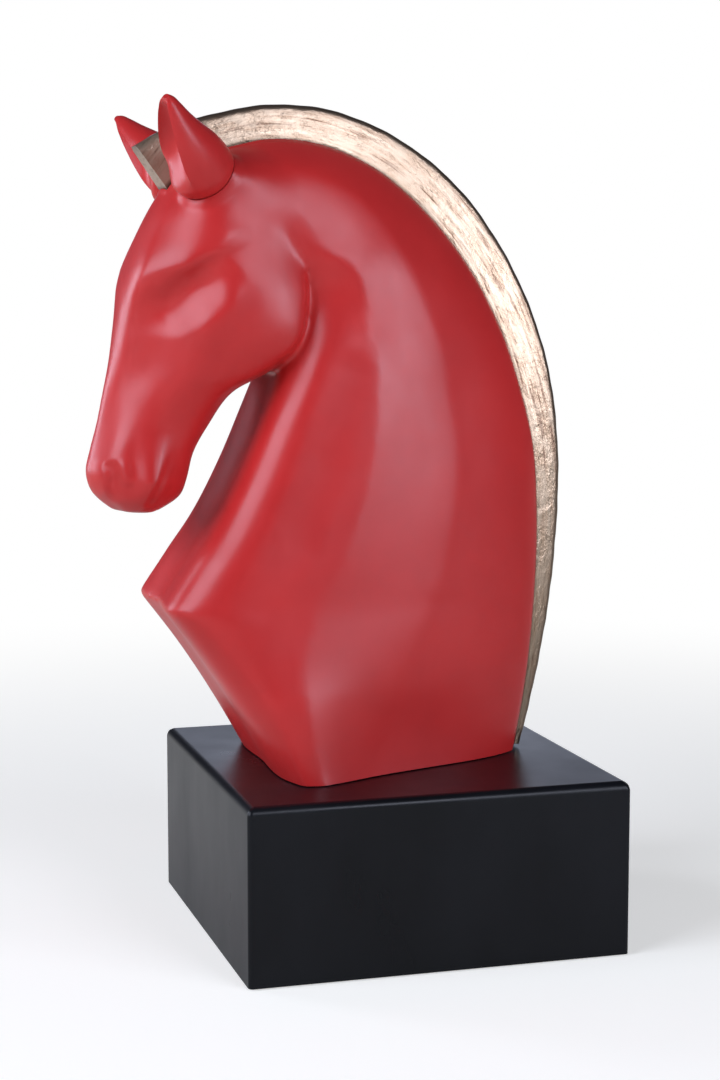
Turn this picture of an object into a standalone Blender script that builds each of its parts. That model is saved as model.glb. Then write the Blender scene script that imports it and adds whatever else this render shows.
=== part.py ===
# Horse-head bust with a gold mane on a black block: a desk ornament cast in resin.
# The horse looks along -X and its left side is -Y. The felt under the block lies on Z = 0.
import math
from collections import namedtuple

import bmesh
import bpy
import numpy as np
from mathutils import Matrix, Vector

MM = 0.001

# Clearance between pieces that touch
SEAT_GAP = 0.3 * MM

# Block and the felt under it
BLOCK_SIDE = 110 * MM
BLOCK_HEIGHT = 49.5 * MM
BLOCK_EDGE = 2.4 * MM
FELT_THICKNESS = 1.5 * MM
FELT_PROUD = 0.4 * MM
BLOCK_RIM = 4.0 * MM

# Two screws from below, their washers, and the inserts in the bust's foot
FRONT_BOLT_X = -16 * MM
REAR_BOLT_X = 14 * MM
BOLT_DIAMETER = 6 * MM
BOLT_ENGAGEMENT = 12 * MM
BOLT_HEAD_DIAMETER = 10 * MM
BOLT_HEAD_HEIGHT = 6 * MM
HEX_SOCKET_WIDTH = 5 * MM
HEX_SOCKET_DEPTH = 3 * MM
WASHER_DIAMETER = 18 * MM
WASHER_THICKNESS = 1.6 * MM
COUNTERBORE_DIAMETER = 20 * MM
COUNTERBORE_DEPTH = 14 * MM
INSERT_DIAMETER = 10 * MM
INSERT_LENGTH = 15 * MM
INSERT_HOLE_END = 4 * MM

# Mane: a strip seated in a groove along the crest
MANE_HALF_AT_CREST = 5.6 * MM
MANE_HALF_AT_RIM = 4.4 * MM
MANE_RIM_ROUND = 2.0 * MM
MANE_GROOVE_DEPTH = 3.0 * MM
MANE_FOOT_CLEARANCE = 3.0 * MM

# Bust from its foot to the top of the crest: the drawing below is scaled to this height
BUST_HEIGHT = 177.6 * MM

# Ears: the right one leans a little further than the left
EAR_HALF_DEPTH = 7.4 * MM
EAR_HALF_WIDTH = 7.4 * MM
EAR_BOWL = 6.0 * MM
EAR_BOW = 1.4 * MM
EAR_BOWL_NARROWING = 1.5
EAR_OPENING = Vector((-0.96, -0.20, -0.2))

# Drawing of the bust, in its own units above the foot.
# A section runs from its outer point to its inner point in the middle plane.
# On the neck outer is the crest and inner the front, and on the head the bridge and the jaw.
# The flank points are (share of the way, half width).
Section = namedtuple("Section", "outer inner outer_half flank inner_half corner steps")

NECK = (
    Section((38.0, 0.0), (-37.6, 0.0), 9.4, ((0.68, 31.8), (0.885, 38.4), (0.955, 37.4)), 32.6, 0, 2),
    Section((41.0, 16.0), (-45.6, 15.0), 8.6, ((0.60, 29.9), (0.85, 37.0), (0.932, 35.4)), 29.6, 0, 2),
    Section((43.0, 32.0), (-57.0, 32.5), 8.4, ((0.46, 28.6), (0.78, 34.2), (0.935, 31.4)), 26.0, 0, 2),
    Section((44.3, 48.0), (-68.2, 48.2), 8.4, ((0.35, 26.4), (0.66, 31.4), (0.955, 28.0)), 24.6, 1, 2),
    Section((44.8, 61.0), (-60.3, 60.0), 8.4, ((0.33, 25.0), (0.64, 30.2), (0.951, 27.6)), 24.2, 0, 2),
    Section((44.7, 73.0), (-53.3, 70.0), 8.4, ((0.33, 24.2), (0.64, 29.2), (0.947, 27.2)), 23.8, 0, 3),
    Section((43.3, 91.0), (-44.8, 86.0), 8.4, ((0.33, 22.8), (0.64, 28.0), (0.941, 26.6)), 23.2, 0, 3),
    Section((39.0, 108.0), (-38.2, 102.0), 8.4, ((0.35, 22.2), (0.65, 27.0), (0.934, 25.8)), 22.4, 0, 3),
    Section((33.0, 124.5), (-33.4, 116.0), 8.4, ((0.36, 21.8), (0.67, 26.0), (0.91, 24.4)), 20.4, 0, 3),
    Section((24.0, 141.0), (-30.5, 126.0), 8.4, ((0.37, 21.4), (0.69, 25.0), (0.89, 22.4)), 19.0, 0, 3),
    Section((11.0, 157.0), (-31.5, 134.0), 8.4, ((0.34, 21.0), (0.66, 24.8), (0.84, 21.8)), 18.0, 0, 3),
    Section((-5.0, 170.0), (-34.0, 140.0), 8.4, ((0.29, 19.6), (0.75, 23.6), (0.87, 22.2)), 17.0, 0, 3),
    Section((-22.0, 176.7), (-40.0, 144.0), 8.4, ((0.27, 20.0), (0.60, 23.4), (0.84, 22.6)), 16.0, 0, 3),
    Section((-38.0, 177.6), (-48.0, 146.0), 8.0, ((0.27, 19.0), (0.60, 23.3), (0.80, 22.0)), 13.0, 0, 3),
    Section((-50.0, 175.0), (-54.0, 148.0), 6.6, ((0.30, 14.0), (0.57, 16.0), (0.80, 14.0)), 8.0, 0, 0),
)

HEAD = (
    Section((-51.0, 175.0), (-35.0, 174.4), 6.0, ((0.25, 12.0), (0.55, 13.0), (0.80, 11.0)), 5.0, 0, 3),
    Section((-58.5, 171.4), (-28.0, 168.0), 9.6, ((0.25, 19.6), (0.50, 21.0), (0.80, 17.8)), 9.0, 0, 3),
    Section((-65.2, 164.0), (-26.0, 157.0), 11.4, ((0.24, 21.8), (0.50, 23.4), (0.82, 21.2)), 10.0, 0, 4),
    Section((-72.8, 150.5), (-25.0, 144.0), 13.2, ((0.21, 22.0), (0.47, 25.6), (0.88, 22.0)), 11.0, 0, 6),
    Section((-77.4, 138.0), (-25.0, 132.0), 15.4, ((0.19, 20.6), (0.50, 27.0), (0.90, 23.6)), 13.0, 0, 6),
    Section((-79.5, 126.0), (-27.5, 120.5), 10.4, ((0.20, 16.6), (0.49, 25.4), (0.88, 24.2)), 15.0, 0, 5),
    Section((-81.2, 115.5), (-36.8, 113.0), 7.4, ((0.20, 13.2), (0.51, 21.2), (0.85, 21.2)), 14.0, 0, 4),
    Section((-83.2, 106.5), (-46.8, 107.4), 5.6, ((0.20, 11.4), (0.50, 17.2), (0.82, 17.0)), 11.0, 0, 3),
    Section((-84.9, 98.5), (-53.2, 98.4), 5.6, ((0.20, 11.0), (0.50, 14.6), (0.82, 13.2)), 9.0, 0, 3),
    Section((-86.9, 91.0), (-57.8, 90.2), 6.4, ((0.20, 11.4), (0.50, 13.8), (0.82, 12.4)), 8.6, 0, 3),
    Section((-88.0, 84.8), (-59.6, 83.0), 6.8, ((0.20, 11.6), (0.50, 13.6), (0.82, 12.2)), 8.4, 0, 3),
    Section((-86.2, 79.4), (-61.6, 78.0), 6.0, ((0.20, 10.0), (0.50, 12.0), (0.82, 10.8)), 7.0, 0, 3),
    Section((-80.8, 74.4), (-67.8, 73.6), 3.4, ((0.20, 6.0), (0.50, 7.0), (0.82, 6.0)), 3.6, 0, 0),
)

# Rise of the middle of a section over its edges, and how crisp each of its seven points is
NECK_CROWN = (0.6, 1.4)
HEAD_CROWN = (0.8, 2.0)
NECK_CRISP = (0.0, 0.6, 0.0, 0.35, 0.3, 0.3, 0.0)
HEAD_CRISP = (0.0, 0.8, 0.0, 0.0, 0.6, 0.0, 0.0)
NECK_PANELS = (2, 4, 4, 4, 4, 3)
HEAD_PANELS = (2, 4, 6, 6, 4, 2)

# Modelling strokes on both sides of the head: a path in side view, how far the stroke reaches on
# the left and right of it, its height, and the share of that height at each point of the path
Stroke = namedtuple("Stroke", "path reach height shares")
STROKES = (
    Stroke(((-74.0, 143.5), (-63.0, 145.5), (-54.0, 150.5), (-46.0, 153.5)), (10.0, 4.5), 1.2,
           (0.6, 1.0, 0.8, 0.0)),
    Stroke(((-76.0, 133.5), (-67.0, 134.5), (-60.0, 139.0), (-53.0, 146.5)), (7.0, 11.0), -3.0,
           (0.5, 1.0, 0.85, 0.0)),
    Stroke(((-57.0, 134.5), (-62.5, 128.0), (-69.0, 116.0)), (8.0, 8.0), 2.4, (0.7, 1.0, 0.5)),
    Stroke(((-69.6, 96.0), (-70.4, 86.0)), (6.5, 6.5), 2.2, (0.8, 1.0)),
    Stroke(((-82.3, 87.0), (-81.8, 81.5)), (3.2, 3.2), -1.7, (0.8, 1.0)),
)
STROKE_CLEAR_OF_MIDDLE = 4.0

# Height of the mane's rim over the crest, from the forelock to the foot
MANE_HEIGHTS = (14.0, 10.8, 9.6, 9.6, 10.4, 11.4, 12.8, 12.5, 12.0, 11.2, 9.2, 8.0, 7.2, 6.4, 5.2, 3.9, 2.9)

# Foot and tip of each ear in the drawing
LEFT_EAR = (Vector((-58.4, -18.6, 167.2)), Vector((-70.6, -33.0, 186.6)))
RIGHT_EAR = (Vector((-56.6, 18.4, 167.0)), Vector((-72.0, 33.5, 185.6)))

# Ear sections: share of the length, of the half depth, of the half width and of the bowl
EAR_SECTIONS = (
    (-0.18, 0.50, 0.46, 0.00),
    (-0.08, 0.84, 0.80, 0.00),
    (0.03, 1.20, 1.08, 0.10),
    (0.16, 1.34, 1.17, 0.45),
    (0.34, 1.23, 1.12, 0.90),
    (0.52, 0.97, 0.98, 1.00),
    (0.70, 0.69, 0.76, 0.80),
    (0.86, 0.45, 0.51, 0.48),
    (0.95, 0.28, 0.32, 0.18),
    (1.00, 0.11, 0.12, 0.00),
)

COLOURS = {
    "horse_bust": ((0.47, 0.026, 0.031), 0.42, 0.0),
    "mane": ((0.62, 0.47, 0.31), 0.36, 1.0),
    "ear_left": ((0.47, 0.026, 0.031), 0.42, 0.0),
    "ear_right": ((0.47, 0.026, 0.031), 0.42, 0.0),
    "block": ((0.012, 0.013, 0.017), 0.38, 0.0),
    "felt_pad": ((0.010, 0.010, 0.011), 0.95, 0.0),
    "bolt": ((0.45, 0.45, 0.46), 0.30, 1.0),
    "washer": ((0.55, 0.55, 0.56), 0.28, 1.0),
    "insert": ((0.62, 0.44, 0.18), 0.32, 1.0),
}

ROUND_SIDES = 32
MANE_STEPS = 3
EAR_SIDES = 24
EAR_STEPS = 2
SMOOTH_ANGLE = math.radians(40)

UNIT = BUST_HEIGHT / max(section.outer[1] for section in NECK)
BLOCK_BASE = FELT_PROUD
FELT_RECESS = FELT_THICKNESS - FELT_PROUD + SEAT_GAP
BLOCK_TOP = BLOCK_BASE + BLOCK_HEIGHT
BUST_BASE = BLOCK_TOP + SEAT_GAP
WASHER_TOP = BLOCK_BASE + FELT_RECESS + COUNTERBORE_DEPTH - SEAT_GAP
BOLT_SEAT = WASHER_TOP - WASHER_THICKNESS - SEAT_GAP
HOLE_DIAMETER = BOLT_DIAMETER + 2 * SEAT_GAP


# Scene and collections
def clear_scene():
    for item in list(bpy.data.objects):
        bpy.data.objects.remove(item, do_unlink=True)


def new_collection(name):
    collection = bpy.data.collections.new(name)
    bpy.context.scene.collection.children.link(collection)
    return collection


def material(name, key):
    colour, roughness, metallic = COLOURS[key]
    made = bpy.data.materials.new(name + "_finish")
    made.use_nodes = True
    shader = made.node_tree.nodes["Principled BSDF"]
    shader.inputs["Base Color"].default_value = (*colour, 1)
    shader.inputs["Roughness"].default_value = roughness
    shader.inputs["Metallic"].default_value = metallic
    made.diffuse_color = (*colour, 1)
    return made


def add_part(name, shape, key, parent, location=(0, 0, 0)):
    mesh = bpy.data.meshes.new(name)
    bmesh.ops.recalc_face_normals(shape, faces=shape.faces)
    shape.to_mesh(mesh)
    shape.free()
    mesh.shade_smooth()
    mesh.set_sharp_from_angle(angle=SMOOTH_ANGLE)
    mesh.materials.append(material(name, key))
    part = bpy.data.objects.new(name, mesh)
    parts.objects.link(part)
    part.parent = parent
    part.location = location
    return part


def add_cutter(name, shape, parent, location=(0, 0, 0)):
    mesh = bpy.data.meshes.new(name)
    bmesh.ops.recalc_face_normals(shape, faces=shape.faces)
    shape.to_mesh(mesh)
    shape.free()
    mesh.shade_smooth()
    mesh.set_sharp_from_angle(angle=SMOOTH_ANGLE)
    cutter = bpy.data.objects.new(name, mesh)
    cutters.objects.link(cutter)
    cutter.parent = parent
    cutter.location = location
    cutter.hide_render = True
    cutter.display_type = 'WIRE'
    return cutter


def combine(part, operation, cutter):
    step = part.modifiers.new(cutter.name, 'BOOLEAN')
    step.operation = operation
    step.object = cutter
    step.solver = 'EXACT'


# Smooth curves and lofts
def curve(knots, points, crisp, steps):
    points = np.asarray(points, float)
    crisp = np.asarray(crisp, float)[:, None]
    span = np.diff(knots)[:, None]
    slope = np.diff(points, axis=0) / span
    before = np.vstack((slope[:1], slope))
    after = np.vstack((slope, slope[-1:]))
    span_before = np.vstack((span[:1], span))
    span_after = np.vstack((span, span[-1:]))
    smooth = (before * span_after + after * span_before) / (span_before + span_after)
    leaving = smooth + (after - smooth) * crisp
    arriving = smooth + (before - smooth) * crisp
    run = [points[:1]]
    for i, count in enumerate(steps):
        t = np.arange(1, count + 1)[:, None] / count
        start = (2 * t**3 - 3 * t**2 + 1) * points[i] + (t**3 - 2 * t**2 + t) * leaving[i] * span[i]
        end = (3 * t**2 - 2 * t**3) * points[i + 1] + (t**3 - t**2) * arriving[i + 1] * span[i]
        run.append(start + end)
    return np.vstack(run)


def lengths_along(points):
    gaps = np.linalg.norm(np.diff(np.asarray(points, float), axis=0), axis=1)
    return np.concatenate(([0.0], np.cumsum(gaps)))


def loft(rings):
    shape = bmesh.new()
    rows = []
    for ring in rings:
        rows.append([shape.verts.new(point) for point in ring])
    for low, high in zip(rows, rows[1:]):
        for i in range(len(low)):
            j = (i + 1) % len(low)
            shape.faces.new((low[i], low[j], high[j], high[i]))
    shape.faces.new(rows[0])
    shape.faces.new(rows[-1])
    return shape


# Bust: neck and head are lofts through their sections
def section_values(section):
    values = [*section.outer, *section.inner, section.outer_half, section.inner_half]
    for share, half in section.flank:
        values.extend((share, half))
    return values


def half_ring(values, crown, crisp, panels):
    outer = np.array(values[0:2])
    inner = np.array(values[2:4])
    outer_half, inner_half = values[4:6]
    depth = np.linalg.norm(inner - outer)
    points = [(0, 0), (crown[0], outer_half)]
    for share, half in zip(values[6::2], values[7::2]):
        points.append((share * depth, half))
    points.extend(((depth - crown[1], inner_half), (depth, 0)))
    mirrored = [(points[1][0], -outer_half), *points, (points[-2][0], -inner_half)]
    line = curve(lengths_along(mirrored), mirrored, (0, *crisp, 0), (1, *panels, 1))[1:-1]
    along = (inner - outer) / depth
    return np.array([(outer[0] + s * along[0], y, outer[1] + s * along[1]) for s, y in line])


def body_rings(sections, crown, crisp, panels):
    middles = [np.add(section.outer, section.inner) / 2 for section in sections]
    knots = lengths_along(middles)
    values = [section_values(section) for section in sections]
    corners = [section.corner for section in sections]
    steps = [section.steps for section in sections[:-1]]
    rings = []
    for row in curve(knots, values, corners, steps):
        half = half_ring(row, crown, crisp, panels)
        other = half[-2:0:-1] * (1, -1, 1)
        rings.append(np.vstack((half, other)))
    return rings


def stroke_height(point, stroke):
    tallest = 0.0
    for i, (start, end) in enumerate(zip(stroke.path, stroke.path[1:])):
        line = np.subtract(end, start)
        t = np.clip((point - start) @ line / (line @ line), 0, 1)
        offset = point - start - t * line
        reach = stroke.reach[0] if line[0] * offset[1] > line[1] * offset[0] else stroke.reach[1]
        near = min(np.linalg.norm(offset) / reach, 1)
        share = stroke.shares[i] + (stroke.shares[i + 1] - stroke.shares[i]) * t
        tallest = max(tallest, share * (1 - near**2)**2)
    return stroke.height * tallest


def stroked(ring):
    worked = ring.copy()
    for point in worked:
        side = np.clip((abs(point[1]) - STROKE_CLEAR_OF_MIDDLE) / STROKE_CLEAR_OF_MIDDLE, 0, 1)
        for stroke in STROKES:
            point[1] += math.copysign(stroke_height(point[[0, 2]], stroke) * side, point[1])
    return worked


def cylinder(diameter, height, sides=ROUND_SIDES):
    shape = bmesh.new()
    radius = diameter / 2
    bmesh.ops.create_cone(shape, cap_ends=True, segments=sides, radius1=radius, radius2=radius, depth=height)
    bmesh.ops.translate(shape, verts=shape.verts, vec=(0, 0, height / 2))
    return shape


def make_bust(parent):
    neck = loft([ring * UNIT for ring in body_rings(NECK, NECK_CROWN, NECK_CRISP, NECK_PANELS)])
    bust = add_part("horse_bust", neck, "horse_bust", parent, (0, 0, BUST_BASE))
    head_rings = body_rings(HEAD, HEAD_CROWN, HEAD_CRISP, HEAD_PANELS)
    head = loft([stroked(ring) * UNIT for ring in head_rings])
    combine(bust, 'UNION', add_cutter("head_form", head, bust))
    combine(bust, 'DIFFERENCE', add_cutter("mane_groove", mane_shape(SEAT_GAP), bust))
    for side in (1, -1):
        socket = add_cutter("ear_socket", ear_shape(side, SEAT_GAP), bust)
        socket.matrix_local = ear_placement(side)
        combine(bust, 'DIFFERENCE', socket)
    hole_depth = INSERT_LENGTH + INSERT_HOLE_END
    for x in (FRONT_BOLT_X, REAR_BOLT_X):
        hole = cylinder(INSERT_DIAMETER + 2 * SEAT_GAP, 2 * hole_depth)
        combine(bust, 'DIFFERENCE', add_cutter("insert_hole", hole, bust, (x, 0, -hole_depth)))
    return bust


# Mane: the same crest line that the sections give, raised to the rim
def crest_line():
    forehead = [section.outer for section in HEAD[2:0:-1]]
    crest = [section.outer for section in NECK[::-1]]
    return np.array(forehead + crest) * UNIT


def mane_shape(gap):
    points = crest_line()
    heights = np.array(MANE_HEIGHTS) * UNIT
    knots = lengths_along(points)
    steps = [MANE_STEPS] * (len(points) - 1)
    line = curve(knots, np.column_stack((points, heights)), np.zeros(len(points)), steps)
    tangents = np.gradient(line[:, :2], axis=0)
    tangents /= np.linalg.norm(tangents, axis=1)[:, None]
    tangents[:MANE_STEPS] = tangents[MANE_STEPS]
    line[0, :2] -= tangents[0] * gap
    line[-1, :2] -= tangents[-1] * (MANE_FOOT_CLEARANCE - gap)
    rings = []
    for (x, z, height), (tx, tz) in zip(line, tangents):
        outline = mane_outline(height, gap)
        rings.append([(x - tz * h, y, z + tx * h) for h, y in outline])
    return loft(rings)


def mane_outline(height, gap):
    root = -MANE_GROOVE_DEPTH - gap
    shoulder = height - MANE_RIM_ROUND
    rim = MANE_HALF_AT_RIM + gap
    crest = MANE_HALF_AT_CREST + gap
    half = [(root, crest), (0, crest), (shoulder, rim)]
    for turn in (30, 60):
        angle = math.radians(turn)
        inset = MANE_RIM_ROUND * (1 - math.cos(angle))
        half.append((shoulder + MANE_RIM_ROUND * math.sin(angle), rim - inset))
    half.append((height, rim - MANE_RIM_ROUND))
    return half + [(h, -y) for h, y in reversed(half)]


def make_mane(bust):
    return add_part("mane", mane_shape(0), "mane", bust)


# Ears: leaf shapes with a rounded foot and a hollow that faces forward
def ear_axis(side):
    foot, tip = LEFT_EAR if side > 0 else RIGHT_EAR
    return foot * UNIT, (tip - foot) * UNIT, Matrix.Diagonal((1, side, 1)) @ EAR_OPENING


def ear_placement(side):
    foot, stem, opening = ear_axis(side)
    up = stem.normalized()
    forward = (opening - opening.dot(up) * up).normalized()
    turn = Matrix((forward, up.cross(forward), up)).transposed()
    return Matrix.Translation(foot) @ turn.to_4x4()


def ear_shape(side, gap):
    length = ear_axis(side)[1].length
    rows = np.array(EAR_SECTIONS)
    rows = curve(rows[:, 0], rows, np.zeros(len(rows)), [EAR_STEPS] * (len(rows) - 1))
    rings = []
    for share, depth, width, bowl in rows:
        height = share * length + math.copysign(gap, share)
        bow = EAR_BOW * 4 * max(share, 0.0) * (1 - share)
        ring = []
        for i in range(EAR_SIDES):
            angle = 2 * math.pi * i / EAR_SIDES
            turned = min(angle, 2 * math.pi - angle)
            hollow = bowl * EAR_BOWL * max(0.0, math.cos(EAR_BOWL_NARROWING * turned))
            x = (depth * EAR_HALF_DEPTH + gap) * math.cos(angle) - hollow + bow
            y = (width * EAR_HALF_WIDTH + gap) * math.sin(angle)
            ring.append((x, y, height))
        rings.append(ring)
    return loft(rings)


def make_ears(bust):
    for side, name in ((1, "ear_left"), (-1, "ear_right")):
        ear = add_part(name, ear_shape(side, 0), name, bust)
        ear.matrix_local = ear_placement(side)


# Block, felt and fixings
def box(side, height):
    shape = bmesh.new()
    bmesh.ops.create_cube(shape, size=1)
    bmesh.ops.scale(shape, verts=shape.verts, vec=(side, side, height))
    bmesh.ops.translate(shape, verts=shape.verts, vec=(0, 0, height / 2))
    return shape


def make_block(parent):
    shape = box(BLOCK_SIDE, BLOCK_HEIGHT)
    weights = shape.edges.layers.float.new("bevel_weight_edge")
    for edge in shape.edges:
        edge[weights] = float(any(vert.co.z > BLOCK_HEIGHT / 2 for vert in edge.verts))
    block = add_part("block", shape, "block", parent, (0, 0, BLOCK_BASE))
    edges = block.modifiers.new("rounded_edges", 'BEVEL')
    edges.width = BLOCK_EDGE
    edges.segments = 4
    edges.limit_method = 'WEIGHT'
    recess = box(BLOCK_SIDE - 2 * BLOCK_RIM, 2 * FELT_RECESS)
    combine(block, 'DIFFERENCE', add_cutter("felt_recess", recess, block, (0, 0, -FELT_RECESS)))
    for x in (FRONT_BOLT_X, REAR_BOLT_X):
        bore = cylinder(COUNTERBORE_DIAMETER, 2 * COUNTERBORE_DEPTH)
        bore_base = FELT_RECESS - COUNTERBORE_DEPTH
        combine(block, 'DIFFERENCE', add_cutter("counterbore", bore, block, (x, 0, bore_base)))
        hole = cylinder(HOLE_DIAMETER, 2 * BLOCK_HEIGHT)
        combine(block, 'DIFFERENCE', add_cutter("bolt_hole", hole, block, (x, 0, -BLOCK_HEIGHT / 2)))
    block.modifiers.new("flat_faces", 'WEIGHTED_NORMAL').keep_sharp = True


def make_felt(parent):
    side = BLOCK_SIDE - 2 * BLOCK_RIM - 2 * SEAT_GAP
    add_part("felt_pad", box(side, FELT_THICKNESS), "felt_pad", parent)


def make_fixing(place, x, parent):
    head_base = BOLT_SEAT - BOLT_HEAD_HEIGHT
    bolt = add_part("bolt_" + place, cylinder(BOLT_HEAD_DIAMETER, BOLT_HEAD_HEIGHT), "bolt", parent,
                    (x, 0, head_base))
    shank_base = (BOLT_HEAD_HEIGHT + HEX_SOCKET_DEPTH) / 2
    shank = cylinder(BOLT_DIAMETER, BUST_BASE + BOLT_ENGAGEMENT - head_base - shank_base)
    combine(bolt, 'UNION', add_cutter("bolt_shank", shank, bolt, (0, 0, shank_base)))
    key = cylinder(HEX_SOCKET_WIDTH / math.cos(math.pi / 6), 2 * HEX_SOCKET_DEPTH, 6)
    combine(bolt, 'DIFFERENCE', add_cutter("hex_socket", key, bolt, (0, 0, -HEX_SOCKET_DEPTH)))

    washer_base = WASHER_TOP - WASHER_THICKNESS
    washer = add_part("washer_" + place, cylinder(WASHER_DIAMETER, WASHER_THICKNESS), "washer", parent,
                      (x, 0, washer_base))
    eye = cylinder(HOLE_DIAMETER, 3 * WASHER_THICKNESS)
    combine(washer, 'DIFFERENCE', add_cutter("washer_eye", eye, washer, (0, 0, -WASHER_THICKNESS)))

    insert = add_part("insert_" + place, cylinder(INSERT_DIAMETER, INSERT_LENGTH), "insert", parent,
                      (x, 0, BUST_BASE))
    bore = cylinder(HOLE_DIAMETER, 3 * INSERT_LENGTH)
    combine(insert, 'DIFFERENCE', add_cutter("insert_bore", bore, insert, (0, 0, -INSERT_LENGTH)))


clear_scene()
parts = new_collection("horse_bust_on_block")
cutters = new_collection("cutters")
figurine = bpy.data.objects.new("figurine", None)
parts.objects.link(figurine)
make_block(figurine)
make_felt(figurine)
horse = make_bust(figurine)
make_mane(horse)
make_ears(horse)
make_fixing("front", FRONT_BOLT_X, figurine)
make_fixing("rear", REAR_BOLT_X, figurine)
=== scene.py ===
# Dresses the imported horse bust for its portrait: red satin casting, gilded mane, black block.
import math
from collections import namedtuple

import bmesh
import bpy
import numpy as np
from mathutils import Matrix, Vector
from mathutils.bvhtree import BVHTree


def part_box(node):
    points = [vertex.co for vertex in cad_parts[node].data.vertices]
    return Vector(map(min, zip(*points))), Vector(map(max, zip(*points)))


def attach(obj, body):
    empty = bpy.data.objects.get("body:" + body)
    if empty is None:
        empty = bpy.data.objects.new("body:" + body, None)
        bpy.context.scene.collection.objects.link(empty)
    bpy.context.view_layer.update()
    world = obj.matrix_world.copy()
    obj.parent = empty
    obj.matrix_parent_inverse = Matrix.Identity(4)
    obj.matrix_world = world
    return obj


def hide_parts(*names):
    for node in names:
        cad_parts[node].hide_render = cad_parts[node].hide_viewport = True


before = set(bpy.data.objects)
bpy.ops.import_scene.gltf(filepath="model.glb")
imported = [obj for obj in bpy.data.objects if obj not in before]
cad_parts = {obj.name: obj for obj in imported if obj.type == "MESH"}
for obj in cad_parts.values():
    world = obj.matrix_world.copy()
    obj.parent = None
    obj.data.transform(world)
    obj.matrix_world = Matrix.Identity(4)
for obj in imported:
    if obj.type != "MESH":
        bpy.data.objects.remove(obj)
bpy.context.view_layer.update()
mm = 0.001
seatGap = 0.3                           # clearance between pieces that touch, as in the solids
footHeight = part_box("horse_bust")[0].z  # the casting's flat foot stands here
print("frame: %d nodes" % len(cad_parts))

# Curves and lofts, in millimetres over the casting's foot. A knot's crispness runs from 0, smooth, to 1,
# a corner.


def runThrough(knots, points, crisp, steps):
    points = np.asarray(points, float)
    crisp = np.asarray(crisp, float).reshape(len(points), -1)
    span = np.diff(knots)[:, None]
    slope = np.diff(points, axis=0) / span
    before = np.vstack((slope[:1], slope))
    after = np.vstack((slope, slope[-1:]))
    spanBefore = np.vstack((span[:1], span))
    spanAfter = np.vstack((span, span[-1:]))
    smooth = (before * spanAfter + after * spanBefore) / (spanBefore + spanAfter)
    leaving = smooth + (after - smooth) * crisp
    arriving = smooth + (before - smooth) * crisp
    run = [points[:1]]
    for i, count in enumerate(steps):
        t = np.arange(1, count + 1)[:, None] / count
        start = (2 * t**3 - 3 * t**2 + 1) * points[i] + (t**3 - 2 * t**2 + t) * leaving[i] * span[i]
        end = (3 * t**2 - 2 * t**3) * points[i + 1] + (t**3 - t**2) * arriving[i + 1] * span[i]
        run.append(start + end)
    return np.vstack(run)


def lengthsAlong(points):
    gaps = np.linalg.norm(np.diff(np.asarray(points, float), axis=0), axis=1)
    return np.concatenate(([0.0], np.cumsum(gaps)))


def loftMesh(name, rings):
    rings = np.asarray(rings)
    rows, sides = rings.shape[:2]
    index = np.arange(rows * sides).reshape(rows, sides)
    low, high = index[:-1], index[1:]
    quads = np.stack((low, np.roll(low, -1, 1), np.roll(high, -1, 1), high), -1)
    faces = quads.reshape(-1, 4).tolist()
    faces += [index[0].tolist(), index[-1].tolist()]
    mesh = bpy.data.meshes.new(name)
    mesh.from_pydata(rings.reshape(-1, 3), [], faces)
    turnOutward(mesh)
    return mesh


def turnOutward(mesh):
    shape = bmesh.new()
    shape.from_mesh(mesh)
    bmesh.ops.recalc_face_normals(shape, faces=shape.faces)
    shape.to_mesh(mesh)
    shape.free()


def toRow(points):
    return (np.asarray(points) + (0, 0, footHeight / mm)) * mm


# Meshes and pieces


def shapeMesh(name, shape):
    mesh = bpy.data.meshes.new(name)
    shape.to_mesh(mesh)
    shape.free()
    return mesh


def linkPiece(name, mesh):
    piece = bpy.data.objects.new(name, mesh)
    bpy.context.scene.collection.objects.link(piece)
    return piece


def settle(piece):
    graph = bpy.context.evaluated_depsgraph_get()
    made = bpy.data.meshes.new_from_object(piece.evaluated_get(graph))
    piece.modifiers.clear()
    piece.data = made


def cutBy(piece, meshes):
    cutters = []
    for mesh in meshes:
        cutter = linkPiece("cutter", mesh)
        step = piece.modifiers.new("cut", 'BOOLEAN')
        step.operation = 'DIFFERENCE'
        step.object = cutter
        step.solver = 'MANIFOLD'
        cutters.append(cutter)
    settle(piece)
    for cutter in cutters:
        bpy.data.objects.remove(cutter)


def dress(piece, finish, node, sharpAngle=40):
    piece.data.shade_smooth()
    piece.data.set_sharp_from_angle(angle=math.radians(sharpAngle))
    piece.data.materials.clear()
    piece.data.materials.append(finish)
    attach(piece, "root")
    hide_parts(node)


def meshPoints(mesh):
    points = np.empty(len(mesh.vertices) * 3)
    mesh.vertices.foreach_get("co", points)
    return points.reshape(-1, 3)


def setPoints(mesh, points):
    mesh.vertices.foreach_set("co", np.ascontiguousarray(points, np.float32).ravel())
    mesh.update()


def meshNormals(mesh):
    normals = np.empty(len(mesh.vertices) * 3)
    mesh.vertex_normals.foreach_get("vector", normals)
    return normals.reshape(-1, 3)


# Shader nodes


class NodeTree:
    def __init__(self, tree):
        self.tree = tree

    def node(self, kind, inputs=None, **settings):
        made = self.tree.nodes.new("ShaderNode" + kind)
        for key, value in settings.items():
            setattr(made, key, value)
        for key, value in (inputs or {}).items():
            if isinstance(value, bpy.types.NodeSocket):
                self.tree.links.new(value, made.inputs[key])
            else:
                made.inputs[key].default_value = value
        return made

    def mixed(self, factor, under, over):
        return self.node("Mix", {0: factor, 6: under, 7: over}, data_type='RGBA').outputs[2]


# Camera where the photographer stood: the portrait frame is 720 x 1080

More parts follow.
